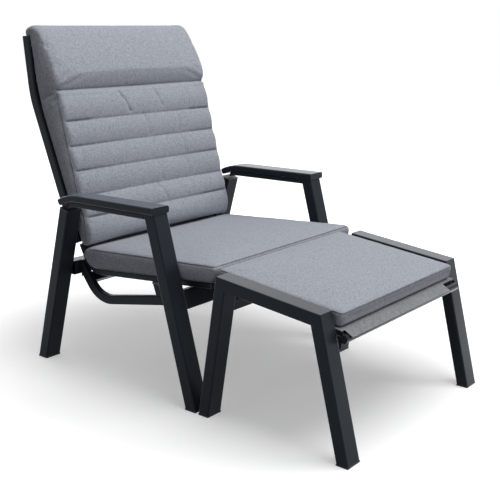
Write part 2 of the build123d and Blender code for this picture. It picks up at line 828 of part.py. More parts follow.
# Headrest pillow: a wedge above the fold whose top lies over the end of the backrest frame
pillow_lip = plug_plate + 2 * soft_gap
pillow_bulge = 9
pillow_top_bulge = 12
pillow_front_rise = 21
pillow_rear_rise = 24
pillow_forward = 26
pillow_rear_inset = 5
pillow_straight = 42
pillow_back_line = offset_route(hinge, back_corner, back_top, back_face)
pillow_fold = back_spot(fold_along + fold_gap, fold_forward)
pillow_above_bend = pillow_back_line[1] + back_high * pillow_straight
lip_front = pillow_back_line[2] + back_high * pillow_lip
lip_rear = back_top + back_high * pillow_lip - turned(back_high) * (back_tube_depth / 2 - pillow_rear_inset)
with BuildPart() as headrest_pillow:
    for share, fullness in zip(section_shares, fullness_shares):
        front_low = back_spot(channel_alongs[-1] + fold_gap, channel_depths[-1] * fullness)
        front_rise = back_high * (pillow_front_rise * fullness)
        top_front = lip_front + front_rise + turned(back_high) * (pillow_forward * fullness)
        top_rear = lip_rear + back_high * (pillow_rear_rise * fullness)
        with BuildSketch(side_plane(share * back_cushion_width / 2)):
            with BuildLine():
                Line(pillow_fold, front_low)
                SagittaArc(front_low, top_front, pillow_bulge * fullness)
                SagittaArc(top_front, top_rear, pillow_top_bulge * fullness)
                Line(top_rear, lip_rear)
                Line(lip_rear, lip_front)
                Line(lip_front, pillow_above_bend)
                Line(pillow_above_bend, pillow_fold)
            make_face()
    loft(ruled=True)
finish(headrest_pillow, "headrest_pillow")


def slab_plane(x, spot, way):
    # Local x runs rearwards along the cushion and local y stands square to it.
    return Plane(origin=place(x, spot), x_dir=(0, way.X, way.Y), z_dir=(1, 0, 0))


def slab_outline(points, squeeze, crown):
    # A cushion's side outline through eight points: underside, rear face, crowned top and nose.
    middle = (points[0] + points[5]) * 0.5
    drawn = []
    for point in points:
        off = point - middle
        drawn.append(middle + Vector(off.X * (1 - squeeze * end_squeeze_share), off.Y * (1 - squeeze)))
    low_front, low_rear, face_low, face_high, high_rear, high_front, nose, chin = drawn
    Line(low_front, low_rear)
    SagittaArc(low_rear, face_low, seat_bulge)
    Line(face_low, face_high)
    SagittaArc(face_high, high_rear, seat_bulge)
    SagittaArc(high_rear, high_front, seat_bulge / 4 + crown)
    SagittaArc(high_front, nose, seat_bulge / 2)
    Line(nose, chin)
    SagittaArc(chin, low_front, seat_bulge / 2)


# Seat cushion, on the rails and the sling, its rear lower corner following their bend
seat_bulge = 5
seat_rail_front = Vector(-seat_rail_length, 0)
seat_cushion_points = (
    seat_rail_front + Vector(-8, 0),
    Vector(-41, 0),
    Vector(6.5, 32),
    Vector(12, 47),
    Vector(-17, 66),
    seat_rail_front + Vector(-26, 53),
    seat_rail_front + Vector(-41, 39),
    seat_rail_front + Vector(-34, 20),
)
seat_shelf = seat_corner + turned(seat_back_way) * (seat_rail_depth / 2 + soft_gap)
with BuildPart() as seat_cushion:
    for share, squeeze, crown in zip(section_shares, squeeze_shares, crown_shares):
        with BuildSketch(slab_plane(share * seat_cushion_width / 2, seat_shelf, seat_back_way)):
            with BuildLine():
                slab_outline(seat_cushion_points, squeeze, crown * seat_cushion_crown)
            make_face()
    loft(ruled=True)
finish(seat_cushion, "seat_cushion")

# Footstool legs and side rails, mitred where they meet
stool_half = stool_leg_depth / 2
rail_line = stool_way * -1
rail_in = turned(stool_way) * -1
rear_in = turned(stool_rear_up)
front_in = turned(stool_front_up) * -1


def meet(first_spot, first_way, second_spot, second_way):
    # Where two side-view lines cross.
    gap = second_spot - first_spot
    turn = first_way.X * second_way.Y - first_way.Y * second_way.X
    return first_spot + first_way * ((gap.X * second_way.Y - gap.Y * second_way.X) / turn)


rail_middle = stool_rear_corner + rail_in * stool_half
rear_middle = stool_rear_corner + rear_in * stool_half
front_middle = stool_front_corner + front_in * stool_half
rear_joint = meet(rail_middle, rail_line, rear_middle, stool_rear_up)
front_joint = meet(rail_middle, rail_line, front_middle, stool_front_up)
rear_mitre = cut_plane(rear_joint, (rail_line + stool_rear_up).normalized())
front_mitre = cut_plane(front_joint, (rail_line - stool_front_up).normalized())
for side, sign in sides:
    middle = stool_offset + sign * stool_leg_middle
    with BuildPart() as stool_rear_leg:
        ends = (rear_joint - stool_rear_up * (stool_rear_height + cut_overrun), rear_joint + stool_rear_up * cut_overrun)
        tube_along(ends, 0, middle, leg_width, stool_leg_depth)
        split(bisect_by=Plane.XY.offset(foot_height), keep=Keep.TOP)
        split(bisect_by=rear_mitre, keep=Keep.BOTTOM)
    finish(stool_rear_leg, side + "_stool_rear_leg")
    with BuildPart() as stool_front_leg:
        ends = (front_joint - stool_front_up * (stool_rear_height + cut_overrun), front_joint + stool_front_up * cut_overrun)
        tube_along(ends, 0, middle, leg_width, stool_leg_depth)
        split(bisect_by=Plane.XY.offset(foot_height), keep=Keep.TOP)
        split(bisect_by=front_mitre, keep=Keep.TOP)
    finish(stool_front_leg, side + "_stool_front_leg")
    with BuildPart() as stool_rail:
        ends = (rear_joint - rail_line * cut_overrun, front_joint + rail_line * cut_overrun)
        tube_along(ends, 0, middle, leg_width, stool_leg_depth)
        split(bisect_by=rear_mitre, keep=Keep.TOP)
        split(bisect_by=front_mitre, keep=Keep.BOTTOM)
    finish(stool_rail, side + "_stool_rail")

with BuildPart() as stool_foot_glides:
    for side, sign in sides:
        middle = stool_offset + sign * stool_leg_middle
        for joint, up in ((rear_joint, stool_rear_up), (front_joint, stool_front_up)):
            foot = joint - up * ((joint.Y - foot_height) / up.Y)
            foot_glide(middle, foot, up, leg_width, stool_leg_depth)
finish(stool_foot_glides, "stool_foot_glides")

# Footstool sling frame: side tubes along the legs' inner faces, with a rear and a front tube
sling_drop = stool_cushion_thickness + soft_gap + sling_thickness + fit_clearance
sling_shelf = stool_rear_corner + rail_in * sling_drop
side_tube_line = sling_shelf + rail_in * (stool_side_tube_depth / 2)
flap_top = sling_shelf + rail_line * (stool_length + stool_cushion_ahead)
flap_end = flap_top - Vector(stool_flap_reach, stool_flap_drop)
flap_way = (flap_end - flap_top).normalized()
front_tube_spot = (flap_top + flap_end) * 0.5 + turned(flap_way) * (stool_front_tube_radius + sling_thickness)
side_tube_rear = side_tube_line - rail_line * (stool_cushion_behind - 2 * stool_rear_tube_radius)
rear_tube_spot = side_tube_rear - rail_line * stool_rear_tube_radius + rail_in * (
    stool_rear_tube_radius - stool_side_tube_depth / 2
)
front_tube_touch = (stool_way - rail_in).normalized()
stool_tube_spots = ((rear_tube_spot, stool_rear_tube_radius), (front_tube_spot, stool_front_tube_radius))
stool_side_middle = stool_inner - stool_side_tube_width / 2
for side, sign in sides:
    middle = stool_offset + sign * stool_side_middle
    with BuildPart() as stool_side_tube:
        side_tube_front = side_tube_line + rail_line * (stool_length + stool_cushion_ahead + stool_side_tube_depth)
        side_tube_ends = (side_tube_rear, side_tube_front)
        tube_along(side_tube_ends, 0, middle, stool_side_tube_width, stool_side_tube_depth)
        split(bisect_by=cut_plane(flap_top, turned(flap_way)), keep=Keep.TOP)
        touch_plane = cut_plane(front_tube_spot + front_tube_touch * stool_front_tube_radius, front_tube_touch)
        split(bisect_by=touch_plane, keep=Keep.TOP)
    finish(stool_side_tube, side + "_stool_side_tube")

for name, (spot, radius) in zip(("stool_rear_tube", "stool_front_tube"), stool_tube_spots):
    with BuildPart() as stool_cross:
        round_across(spot, radius, stool_offset - stool_inner, stool_offset + stool_inner, bore=radius - tube_wall)
    finish(stool_cross, name)

with BuildPart() as stool_tube_plugs:
    for spot, radius in stool_tube_spots:
        for side, sign in sides:
            face = stool_offset + sign * stool_inner
            round_across(spot, radius - tube_wall - plug_clearance, face, face - sign * plug_depth)
finish(stool_tube_plugs, "stool_tube_plugs")

# Footstool rear cross member, under the side tubes
member_top = meet(side_tube_line + rail_in * (stool_side_tube_depth / 2), rail_line, rear_joint, stool_rear_up)
member_tilt = tan(radians(stool_slope_angle + stool_rear_leg_lean))
stool_member_spot = member_top - stool_rear_up * ((stool_member_height + stool_member_depth * member_tilt) / 2)
with BuildPart() as stool_rear_member:
    cross_tube(
        stool_member_spot,
        stool_member_depth,
        stool_member_height,
        stool_rear_leg_lean,
        stool_offset - stool_inner,
        stool_offset + stool_inner,
    )
finish(stool_rear_member, "stool_rear_member")

# Footstool sling, from its rear tube over the side tubes and down over the front tube
with BuildPart() as stool_sling:
    sling_line = sling_shelf + turned(stool_way) * (sling_thickness / 2 + fit_clearance)
    shift = sling_line - sling_shelf
    with BuildSketch(side_plane(stool_offset - stool_inner + sling_clearance)):
        with BuildLine():
            Polyline(sling_line - rail_line * stool_cushion_behind, flap_top + shift, flap_end + shift)
        trace(line_width=sling_thickness)
    extrude(amount=2 * (stool_inner - sling_clearance))
finish(stool_sling, "stool_sling")

# Footstool cushion, between the side frames
stool_shelf = stool_rear_corner + rail_in * stool_cushion_thickness
stool_cushion_half = stool_inner - stool_cushion_side_gap
stool_front_end = -stool_length - stool_cushion_ahead
stool_edge = stool_cushion_thickness / 3
stool_cushion_points = (
    Vector(stool_front_end + stool_edge, 0),
    Vector(stool_cushion_behind - stool_edge, 0),
    Vector(stool_cushion_behind, stool_edge),
    Vector(stool_cushion_behind, 2 * stool_edge),
    Vector(stool_cushion_behind - stool_edge, stool_cushion_thickness),
    Vector(stool_front_end + stool_edge, stool_cushion_thickness),
    Vector(stool_front_end, 2 * stool_edge),
    Vector(stool_front_end, stool_edge),
)
with BuildPart() as stool_cushion:
    for share, squeeze, crown in zip(section_shares, squeeze_shares, crown_shares):
        with BuildSketch(slab_plane(stool_offset + share * stool_cushion_half, stool_shelf, stool_way)):
            with BuildLine():
                slab_outline(stool_cushion_points, squeeze, crown * stool_cushion_crown)
            make_face()
    loft(ruled=True)
finish(stool_cushion, "stool_cushion")
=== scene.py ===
import bpy
import json
import math
import numpy as np
from mathutils import Matrix, Vector, noise
from mathutils.bvhtree import BVHTree


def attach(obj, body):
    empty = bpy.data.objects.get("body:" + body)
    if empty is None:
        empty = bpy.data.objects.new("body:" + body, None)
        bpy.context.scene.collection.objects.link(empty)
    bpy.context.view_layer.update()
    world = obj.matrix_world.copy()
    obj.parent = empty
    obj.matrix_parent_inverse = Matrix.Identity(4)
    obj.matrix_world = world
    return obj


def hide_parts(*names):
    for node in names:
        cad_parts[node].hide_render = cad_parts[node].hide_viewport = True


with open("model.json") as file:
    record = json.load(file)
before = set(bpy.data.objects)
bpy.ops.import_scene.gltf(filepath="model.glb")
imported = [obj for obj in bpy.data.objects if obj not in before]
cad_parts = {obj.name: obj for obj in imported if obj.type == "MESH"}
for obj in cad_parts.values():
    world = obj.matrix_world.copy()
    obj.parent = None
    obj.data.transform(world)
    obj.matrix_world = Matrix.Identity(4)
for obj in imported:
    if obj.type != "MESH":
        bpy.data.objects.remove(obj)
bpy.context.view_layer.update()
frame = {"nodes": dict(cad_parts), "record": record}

# The same side-view values as the solids, in metres
hingeY = 0.416191
hingeZ = 0.395
backLean = math.radians(22.15)
topLean = math.radians(6.9)
backLength = 0.445
topLength = 0.176
backTubeHalf = 0.0155
seatSlope = math.radians(5.7)
seatEndRise = math.radians(61.6)
seatCornerPlace = (-0.046, 0.2934)
stoolRearPlace = (-0.615, 0.4017)
stoolX = -0.0435


def report(text):
    print("scene:", text)


def sideSpot(y, z):
    return Vector((0, y + hingeY, z))


def heading(angle):
    return Vector((0, math.cos(angle), math.sin(angle)))


def turned(direction):
    return Vector((0, -direction.z, direction.y))


backUp = heading(math.pi / 2 - backLean)
topUp = heading(math.pi / 2 - topLean)
seatBack = heading(-seatSlope)
stoolBack = heading(seatSlope)
hinge = sideSpot(0, hingeZ)
backCorner = hinge + backUp * backLength
backTop = backCorner + topUp * topLength
seatCorner = sideSpot(*seatCornerPlace)
stoolRear = sideSpot(*stoolRearPlace)


def backSpot(along, forward):
    # A place along the backrest and forward of the back tubes' front edge
    return hinge + backUp * along + turned(backUp) * (backTubeHalf + forward)


def selectOnly(piece):
    bpy.ops.object.select_all(action="DESELECT")
    piece.select_set(True)
    bpy.context.view_layer.objects.active = piece


def applyAll(piece):
    selectOnly(piece)
    for modifier in list(piece.modifiers):
        bpy.ops.object.modifier_apply(modifier=modifier.name)


def newPiece(name, points, faces):
    mesh = bpy.data.meshes.new(name)
    mesh.from_pydata([tuple(p) for p in points], [], faces)
    mesh.validate()
    piece = bpy.data.objects.new(name, mesh)
    bpy.context.scene.collection.objects.link(piece)
    return piece


def makeNormalsOutward(piece):
    selectOnly(piece)
    bpy.ops.object.mode_set(mode="EDIT")
    bpy.ops.mesh.select_all(action="SELECT")
    bpy.ops.mesh.normals_make_consistent(inside=False)
    bpy.ops.object.mode_set(mode="OBJECT")


def meshVectors(piece, field):
    # A place or a normal for each point of the piece's mesh
    values = np.empty(len(piece.data.vertices) * 3)
    piece.data.vertices.foreach_get(field, values)
    return values.reshape(-1, 3)


def arcBetween(start, end, rise, count):
    # Points on a shallow arc in the side view, standing up to the left of the way from start to end
    way = end - start
    left = Vector((0, -way.z, way.y)).normalized()
    points = []
    for i in range(count):
        share = i / count
        points.append(start + way * share + left * (4 * rise * share * (1 - share)))
    return points


def bentBetween(start, corner, end, share):
    # A place on the curve that leaves start towards the corner and comes in to end
    return start * (1 - share) ** 2 + corner * 2 * share * (1 - share) + end * share * share


def addNode(tree, kind, place, **values):
    node = tree.nodes.new(kind)
    node.location = place
    for name, value in values.items():
        if name.startswith("in_"):
            node.inputs[name[3:].replace("_", " ")].default_value = value
        else:
            setattr(node, name, value)
    return node


def setInputs(node, values):
    for name, value in values.items():
        node.inputs[name].default_value = value


def groupSocket(tree, name, direction, kind, value=None):
    socket = tree.interface.new_socket(name=name, in_out=direction, socket_type=kind)
    if value is not None:
        socket.default_value = value


weave = {"waviness": 1.2, "fleckStretch": 0.35, "fleckFrom": 0.78, "fleckTo": 1.22, "patchScale": 9.0,
         "patchShare": 0.14, "threadHeight": 0.6}


def wovenGroup():
    # Woven cover: two crossing sets of threads, flecks of lighter and darker yarn and large soft patches
    tree = bpy.data.node_groups.new("wovenYarn", "ShaderNodeTree")
    groupSocket(tree, "Dark", "INPUT", "NodeSocketColor", (0.1, 0.1, 0.1, 1))
    groupSocket(tree, "Light", "INPUT", "NodeSocketColor", (0.3, 0.3, 0.3, 1))
    groupSocket(tree, "Thread Scale", "INPUT", "NodeSocketFloat", 700.0)
    groupSocket(tree, "Fleck Scale", "INPUT", "NodeSocketFloat", 260.0)
    groupSocket(tree, "Color", "OUTPUT", "NodeSocketColor")
    groupSocket(tree, "Height", "OUTPUT", "NodeSocketFloat")
    start = addNode(tree, "NodeGroupInput", (-1200, 0))
    end = addNode(tree, "NodeGroupOutput", (900, 0))
    place = addNode(tree, "ShaderNodeTexCoord", (-1200, -300))
    link = tree.links.new
    threads = addNode(tree, "ShaderNodeMath", (-450, 150), operation="MULTIPLY")
    for i, direction in enumerate(("X", "DIAGONAL")):
        wave = addNode(tree, "ShaderNodeTexWave", (-700, 300 - 300 * i), bands_direction=direction,
                       in_Distortion=weave["waviness"], in_Detail=1.0)
        link(place.outputs["Object"], wave.inputs["Vector"])
        link(start.outputs["Thread Scale"], wave.inputs["Scale"])
        link(wave.outputs["Fac"], threads.inputs[i])
    # flecks stretched along x and along the other way
    flecks = addNode(tree, "ShaderNodeMath", (-450, -400), operation="ADD")
    thin = weave["fleckStretch"]
    for i, stretch in enumerate(((thin, 1, 1), (1, thin, thin))):
        mapping = addNode(tree, "ShaderNodeMapping", (-950, -350 - 250 * i), in_Scale=stretch)
        link(place.outputs["Object"], mapping.inputs["Vector"])
        fleck = addNode(tree, "ShaderNodeTexNoise", (-700, -350 - 250 * i), in_Detail=2.0, in_Roughness=0.6)
        link(mapping.outputs["Vector"], fleck.inputs["Vector"])
        link(start.outputs["Fleck Scale"], fleck.inputs["Scale"])
        link(fleck.outputs["Fac"], flecks.inputs[i])
    sharp = addNode(tree, "ShaderNodeMapRange", (-250, -400), clamp=True,
                    in_From_Min=weave["fleckFrom"], in_From_Max=weave["fleckTo"])
    link(flecks.outputs[0], sharp.inputs["Value"])
    patches = addNode(tree, "ShaderNodeTexNoise", (-450, -700), in_Scale=weave["patchScale"], in_Detail=3.0)
    link(place.outputs["Object"], patches.inputs["Vector"])
    mixShare = addNode(tree, "ShaderNodeMix", (0, -500), data_type="FLOAT", in_Factor=weave["patchShare"])
    link(sharp.outputs["Result"], mixShare.inputs["A"])
    link(patches.outputs["Fac"], mixShare.inputs["B"])
    colour = addNode(tree, "ShaderNodeMix", (250, 0), data_type="RGBA")
    link(mixShare.outputs["Result"], colour.inputs["Factor"])
    link(start.outputs["Dark"], colour.inputs["A"])
    link(start.outputs["Light"], colour.inputs["B"])
    link(colour.outputs["Result"], end.inputs["Color"])
    height = addNode(tree, "ShaderNodeMath", (250, -300), operation="MULTIPLY_ADD")
    height.inputs[1].default_value = weave["threadHeight"]
    link(threads.outputs[0], height.inputs[0])
    link(sharp.outputs["Result"], height.inputs[2])
    link(height.outputs[0], end.inputs["Height"])
    return tree


skin = {"patchScale": 14.0, "dustFrom": 0.35, "dustTo": 0.75, "mostDust": 0.28, "smoothest": 0.26, "roughest": 0.42}


def grainGroup():
    # Fine pebbled skin with slow variation, for coated metal and moulded plastic
    tree = bpy.data.node_groups.new("pebbledSkin", "ShaderNodeTree")
    groupSocket(tree, "Base", "INPUT", "NodeSocketColor", (0.1, 0.1, 0.1, 1))
    groupSocket(tree, "Dust", "INPUT", "NodeSocketColor", (0.2, 0.2, 0.2, 1))
    groupSocket(tree, "Grain Scale", "INPUT", "NodeSocketFloat", 900.0)
    groupSocket(tree, "Color", "OUTPUT", "NodeSocketColor")
    groupSocket(tree, "Roughness", "OUTPUT", "NodeSocketFloat")
    groupSocket(tree, "Height", "OUTPUT", "NodeSocketFloat")
    start = addNode(tree, "NodeGroupInput", (-900, 0))
    end = addNode(tree, "NodeGroupOutput", (700, 0))
    place = addNode(tree, "ShaderNodeTexCoord", (-900, -300))
    link = tree.links.new
    grain = addNode(tree, "ShaderNodeTexNoise", (-500, 200), in_Detail=2.0)
    link(place.outputs["Object"], grain.inputs["Vector"])
    link(start.outputs["Grain Scale"], grain.inputs["Scale"])
    slow = addNode(tree, "ShaderNodeTexNoise", (-500, -100), in_Scale=skin["patchScale"], in_Detail=4.0)
    link(place.outputs["Object"], slow.inputs["Vector"])
    share = addNode(tree, "ShaderNodeMapRange", (-250, -100), clamp=True, in_From_Min=skin["dustFrom"],
                    in_From_Max=skin["dustTo"], in_To_Max=skin["mostDust"])
    link(slow.outputs["Fac"], share.inputs["Value"])
    colour = addNode(tree, "ShaderNodeMix", (100, 100), data_type="RGBA")
    link(share.outputs["Result"], colour.inputs["Factor"])
    link(start.outputs["Base"], colour.inputs["A"])
    link(start.outputs["Dust"], colour.inputs["B"])
    link(colour.outputs["Result"], end.inputs["Color"])
    rough = addNode(tree, "ShaderNodeMapRange", (100, -200), clamp=True, in_To_Min=skin["smoothest"],
                    in_To_Max=skin["roughest"])
    link(slow.outputs["Fac"], rough.inputs["Value"])
    link(rough.outputs["Result"], end.inputs["Roughness"])
    link(grain.outputs["Fac"], end.inputs["Height"])
    return tree


woven = wovenGroup()
pebbled = grainGroup()


def newMaterial(name):
    material = bpy.data.materials.new(name)
    material.use_nodes = True
    tree = material.node_tree
    return material, tree, tree.nodes["Principled BSDF"]


def addBump(tree, shader, height, strength, distance):
    bump = addNode(tree, "ShaderNodeBump", (-200, -300), in_Strength=strength, in_Distance=distance)
    tree.links.new(height, bump.inputs["Height"])
    tree.links.new(bump.outputs["Normal"], shader.inputs["Normal"])


clothFinish = {"specular": 0.2, "sheenRoughness": 0.5, "bumpDepth": 0.0006, "paintedShadeColour": (0.38, 0.38, 0.40, 1)}


def clothMaterial(name, look):
    material, tree, shader = newMaterial(name)
    yarn = addNode(tree, "ShaderNodeGroup", (-500, 0), node_tree=woven)
    setInputs(yarn, {"Dark": (*look["dark"], 1), "Light": (*look["light"], 1), "Thread Scale": look["threads"],
                     "Fleck Scale": look["flecks"]})
    setInputs(shader, {"Roughness": look["roughness"], "Specular IOR Level": clothFinish["specular"],
                       "Sheen Weight": look["sheen"], "Sheen Roughness": clothFinish["sheenRoughness"]})
    addBump(tree, shader, yarn.outputs["Height"], look["bump"], clothFinish["bumpDepth"])
    # painted shade: the colour is darkened along stitched lines and creases, as if in their shadow
    shadeMask = addNode(tree, "ShaderNodeAttribute", (-500, 300), attribute_name="paintedShade")
    darker = addNode(tree, "ShaderNodeMix", (-200, 200), data_type="RGBA", blend_type="MULTIPLY",
                     in_B=clothFinish["paintedShadeColour"])
    tree.links.new(shadeMask.outputs["Fac"], darker.inputs["Factor"])
    tree.links.new(yarn.outputs["Color"], darker.inputs["A"])
    tree.links.new(darker.outputs["Result"], shader.inputs["Base Color"])
    return material


coatFinish = {"specularTint": (0.70, 0.85, 1.0, 1), "sheenTint": (0.62, 0.80, 1.0, 1), "sheenRoughness": 0.3,
              "bumpDepth": 0.0002, "glossFrom": 0.5, "glossTo": 0.72, "glossRoughness": 0.22, "facingBlend": 0.5}


def coatedMaterial(name, look):
    material, tree, shader = newMaterial(name)
    surface = addNode(tree, "ShaderNodeGroup", (-500, 0), node_tree=pebbled)
    setInputs(surface, {"Base": (*look["base"], 1), "Dust": (*look["dust"], 1), "Grain Scale": look["grain"]})
    tree.links.new(surface.outputs["Color"], shader.inputs["Base Color"])
    tree.links.new(surface.outputs["Roughness"], shader.inputs["Roughness"])
    setInputs(shader, {"Metallic": look["metallic"], "Specular IOR Level": look["specular"],
                       "Specular Tint": coatFinish["specularTint"], "Sheen Weight": look["sheen"],
                       "Sheen Roughness": coatFinish["sheenRoughness"], "Sheen Tint": coatFinish["sheenTint"],
                       "Coat Roughness": coatFinish["glossRoughness"]})
    addBump(tree, shader, surface.outputs["Height"], look["bump"], coatFinish["bumpDepth"])
    # the coat's gloss shows at low angles only
    facing = addNode(tree, "ShaderNodeLayerWeight", (-700, 400), in_Blend=coatFinish["facingBlend"])
    glossShare = addNode(tree, "ShaderNodeMapRange", (-450, 400), clamp=True, in_From_Min=coatFinish["glossFrom"],
                         in_From_Max=coatFinish["glossTo"], in_To_Max=look["gloss"])
    tree.links.new(facing.outputs["Facing"], glossShare.inputs["Value"])
    tree.links.new(glossShare.outputs["Result"], shader.inputs["Coat Weight"])
    return material


looks = {
    "cushion": {"dark": (0.265, 0.280, 0.325), "light": (0.452, 0.475, 0.53), "threads": 420, "flecks": 430,
                "roughness": 0.9, "sheen": 0.1, "bump": 0.3},
    "welt": {"dark": (0.15, 0.157, 0.18), "light": (0.29, 0.30, 0.335), "threads": 420, "flecks": 430,
             "roughness": 0.9, "sheen": 0.1, "bump": 0.3},
    "sling": {"dark": (0.035, 0.037, 0.042), "light": (0.075, 0.078, 0.088), "threads": 260, "flecks": 200,
              "roughness": 0.6, "sheen": 0.0, "bump": 0.5},
    "stoolSling": {"dark": (0.19, 0.20, 0.207), "light": (0.29, 0.305, 0.315), "threads": 260, "flecks": 200,
                   "roughness": 0.65, "sheen": 0.05, "bump": 0.5},
    "coat": {"base": (0.0165, 0.0200, 0.0260), "dust": (0.027, 0.032, 0.040), "grain": 900, "metallic": 0.0,
             "specular": 0.1, "bump": 0.15, "sheen": 0.65, "gloss": 1.0},
    "plastic": {"base": (0.018, 0.019, 0.021), "dust": (0.03, 0.031, 0.034), "grain": 600, "metallic": 0.0,
                "specular": 0.35, "bump": 0.35, "sheen": 0.0, "gloss": 0.2},
    "steel": {"base": (0.2, 0.205, 0.215), "dust": (0.12, 0.12, 0.125), "grain": 1200, "metallic": 1.0,
              "specular": 0.5, "bump": 0.1, "sheen": 0.0, "gloss": 0.0},
}
cushionCloth = clothMaterial("cushionCloth", looks["cushion"])
weltCloth = clothMaterial("weltCloth", looks["welt"])
slingCloth = clothMaterial("slingCloth", looks["sling"])
stoolSlingCloth = clothMaterial("stoolSlingCloth", looks["stoolSling"])
slotMaterials = {
    "frame_coat": coatedMaterial("anthraciteCoat", looks["coat"]),
    "black_plastic": coatedMaterial("mouldedPlastic", looks["plastic"]),
    "dark_steel": coatedMaterial("darkSteel", looks["steel"]),
    "cushion_fabric": cushionCloth,
    "sling_fabric": slingCloth,
    "stool_sling_fabric": stoolSlingCloth,
}
for part in frame["record"]["subparts"]:
    node = frame["nodes"][part["node"]]
    node.data.materials.clear()
    node.data.materials.append(slotMaterials[part["material_slot"]])


def dress(piece, material, body):
    piece.data.materials.clear()
    piece.data.materials.append(material)
    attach(piece, body)


report("materials ready")


def cushionShell(name, outlineAt, values):
    # A closed form: side-view outlines across the chair, rounded to domed ends
    half, stations, capRings = values["half"], values["stations"], 6
    rings = []
    for i in range(stations + 1):
        share = -1 + 2 * i / stations
        rings.append((share * half, outlineAt(share * half, 0)))
    firstCap, lastCap = [], []
    for k in range(1, capRings + 1):
        shrink = k / capRings
        reach = half + values["sideBulge"] * (1 - (1 - shrink) ** 2)
        firstCap.append((-reach, outlineAt(-half, shrink)))
        lastCap.append((reach, outlineAt(half, shrink)))
    rings = firstCap[::-1] + rings + lastCap
    count = len(rings[0][1])
    points, faces = [], []
    for x, ring in rings:
        for point in ring:
            points.append(Vector((x + values["middleX"], point.y, point.z)))
    for r in range(len(rings) - 1):
        for i in range(count):
            j = (i + 1) % count
            faces.append((r * count + i, r * count + j, (r + 1) * count + j, (r + 1) * count + i))
    faces.append(tuple(range(count))[::-1])
    last = (len(rings) - 1) * count
    faces.append(tuple(range(last, last + count)))
    piece = newPiece(name, points, faces)
    makeNormalsOutward(piece)
    return piece


def edgeDrop(x, half, sideRound):
    # How far a face falls away near the sides, as on a rounded edge
    over = (abs(x) - (half - sideRound)) / sideRound
    if over <= 0:
        return 0
    over = min(over, 1)
    return sideRound * (1 - math.sqrt(max(0, 1 - over * over)))


def shrinkRing(points, shrink):
    # Draws an outline in towards its middle, to a small last ring
    middle = sum(points, Vector()) / len(points)
    return [middle + (p - middle) * (1 - 0.93 * shrink) for p in points]


def distanceTo(places, line):
    # Least distance from each place to a line of points
    best = np.full(len(places), 1.0)
    for a, b in zip(line[:-1], line[1:]):
        a, b = np.array(a), np.array(b)
        way = b - a
        share = np.clip(((places - a) @ way) / max(way @ way, 1e-12), 0, 1)
        gap = np.linalg.norm(places - (a + share[:, None] * way), axis=1)
        best = np.minimum(best, gap)
    return best


cover = {"quality": 2, "mass": 0.3, "stretch": 12, "shear": 5, "steps": 20, "heldReach": 0.9, "restFrom": 0.1,
         "restBlend": 0.5, "softening": 3}


def puffUp(piece, values, seams):
    # Foam pressing on its cover: cloth under pressure, held at the seams and where it rests
    voxels = piece.modifiers.new("evenMesh", "REMESH")
    voxels.mode = "VOXEL"
    voxels.voxel_size = values["voxel"]
    voxels.use_smooth_shade = True
    applyAll(piece)
    smoother = piece.modifiers.new("soften", "SMOOTH")
    smoother.factor = 0.5
    smoother.iterations = values.get("softening", cover["softening"])
    applyAll(piece)
    rest = meshVectors(piece, "co")
    normals = meshVectors(piece, "normal")
    near = np.full(len(rest), 1.0)
    for seam in seams:
        near = np.minimum(near, distanceTo(rest, seam))
    held = piece.vertex_groups.new(name="held")
    for i in np.nonzero(near < values["voxel"] * cover["heldReach"])[0]:
        held.add([int(i)], 1.0, "REPLACE")
    cloth = piece.modifiers.new("cover", "CLOTH")
    settings = cloth.settings
    settings.quality = cover["quality"]
    settings.mass = cover["mass"]
    settings.tension_stiffness = cover["stretch"]
    settings.compression_stiffness = cover["stretch"]
    settings.shear_stiffness = cover["shear"]
    settings.bending_stiffness = values["bending"]
    settings.use_pressure = True
    settings.uniform_pressure_force = values["pressure"]
    settings.effector_weights.gravity = 0
    settings.vertex_group_mass = "held"
    cloth.collision_settings.use_collision = False
    for step in range(1, cover["steps"] + 1):
        bpy.context.scene.frame_set(step)
    applyAll(piece)
    bpy.context.scene.frame_set(1)
    move = meshVectors(piece, "co") - rest
    length = np.linalg.norm(move, axis=1)
    move *= np.minimum(1, values["cap"] / np.maximum(length, 1e-9))[:, None]
    down = normals @ np.array(values["restsTowards"])
    move *= (1 - np.clip((down - cover["restFrom"]) / cover["restBlend"], 0, 1))[:, None]
    piece.data.vertices.foreach_set("co", (rest + move).ravel())
    piece.data.update()
    piece.vertex_groups.clear()
    finer = piece.modifiers.new("finer", "SUBSURF")
    finer.levels = 1
    finer.render_levels = 1
    applyAll(piece)
    report(piece.name + " puffed, " + str(len(piece.data.vertices)) + " points")


sewn = {"shadeWidth": 0.0024, "puckerReach": 0.03, "puckerFade": 0.011, "wavesAcross": 55, "wavesAlong": 14}


def sewLines(piece, lines):
    # Presses each stitched line into the cover, puckers the cloth beside it and stores painted shade along it
    places = meshVectors(piece, "co")
    normals = meshVectors(piece, "normal")
    depth = np.zeros(len(places))
    paintedShade = np.zeros(len(places))
    for line in lines:
        reach = line["reach"]
        gap = distanceTo(places, line["points"])
        touched = gap < reach * 4
        depth[touched] += line["depth"] * np.exp(-(gap[touched] / reach) ** 2)
        # painted shade: a thin dark line along the seam, standing in for its shadow
        if line.get("paintedShade"):
            paintedShade = np.maximum(paintedShade, line["paintedShade"] * np.exp(-(gap / sewn["shadeWidth"]) ** 2))
        if line.get("pucker"):
            for i in np.nonzero(gap < sewn["puckerReach"])[0]:
                x, y, z = places[i]
                wave = noise.noise(Vector((x * sewn["wavesAcross"], (y + z) * sewn["wavesAlong"], line["seed"])))
                depth[i] += line["pucker"] * wave * math.exp(-gap[i] / sewn["puckerFade"])
    places -= normals * depth[:, None]
    mesh = piece.data
    mesh.vertices.foreach_set("co", places.ravel())
    mesh.attributes.new("paintedShade", "FLOAT", "POINT").data.foreach_set("value", paintedShade)
    mesh.update()


